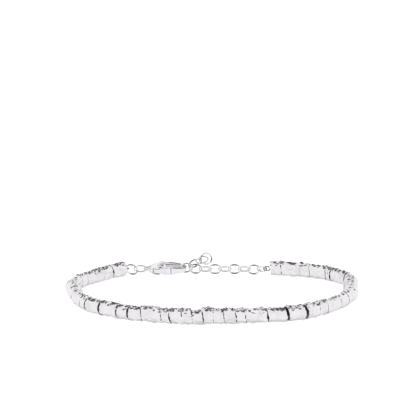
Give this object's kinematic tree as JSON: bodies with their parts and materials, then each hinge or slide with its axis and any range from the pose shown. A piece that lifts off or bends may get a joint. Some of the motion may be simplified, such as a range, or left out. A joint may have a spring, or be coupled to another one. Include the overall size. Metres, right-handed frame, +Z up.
{
  "type": "beaded bracelet",
  "caption": "Bracelet of hammered silver tube beads on a wire, with a lobster clasp hooked into a fine extender chain, lying as a wide oval.",
  "frame": {"origin": "under the middle of the bracelet's box, on the surface that it lies on", "axes": "+X along the oval's length, from the clasp's eye towards its nose; +Y across the oval, from the beaded front to the clasp; +Z up, square to the surface"},
  "size_m": [0.0754, 0.0492, 0.0054],
  "materials": {
    "hammered_silver": "hammered, polished silver",
    "polished_silver": "bright polished silver",
    "coated_wire": "fine steel stringing wire with a clear coat"
  },
  "bodies": {
    "bracelet": {"bead_01": "hammered_silver", "bead_02": "hammered_silver", "bead_03": "hammered_silver", "bead_04": "hammered_silver", "bead_05": "hammered_silver", "bead_06": "hammered_silver", "bead_07": "hammered_silver", "bead_08": "hammered_silver", "bead_09": "hammered_silver", "bead_10": "hammered_silver", "bead_11": "hammered_silver", "bead_12": "hammered_silver", "bead_13": "hammered_silver", "bead_14": "hammered_silver", "bead_15": "hammered_silver", "bead_16": "hammered_silver", "bead_17": "hammered_silver", "bead_18": "hammered_silver", "bead_19": "hammered_silver", "bead_20": "hammered_silver", "bead_21": "hammered_silver", "bead_22": "hammered_silver", "bead_23": "hammered_silver", "bead_24": "hammered_silver", "bead_25": "hammered_silver", "bead_26": "hammered_silver", "bead_27": "hammered_silver", "bead_28": "hammered_silver", "bead_29": "hammered_silver", "bead_30": "hammered_silver", "bead_31": "hammered_silver", "bead_32": "hammered_silver", "bead_33": "hammered_silver", "bead_34": "hammered_silver", "bead_35": "hammered_silver", "bead_36": "hammered_silver", "bead_37": "hammered_silver", "bead_38": "hammered_silver", "bead_39": "hammered_silver", "stringing_wire": "coated_wire", "clasp_body": "polished_silver", "left_link_1": "polished_silver", "left_link_2": "polished_silver", "jump_ring": "polished_silver", "extender_link_1": "polished_silver", "extender_link_2": "polished_silver", "extender_link_3": "polished_silver", "extender_link_4": "polished_silver", "extender_link_5": "polished_silver", "extender_link_6": "polished_silver", "extender_link_7": "polished_silver", "hooked_link": "polished_silver", "tail_link_1": "polished_silver", "tail_link_2": "polished_silver", "end_ring": "polished_silver"},
    "lever": {"clasp_lever": "polished_silver"}
  },
  "joints": [
    {"name": "clasp_lever_hinge", "type": "hinge", "parent": "bracelet", "child": "lever", "pos_m": [-0.01433, 0.02145, 0.00133], "axis": [-0.0598, -0.1329, 0.9893], "range_deg": [0, 20], "stiffness_Nm_per_rad": 0.01, "springref_deg": -14.32}
  ]
}
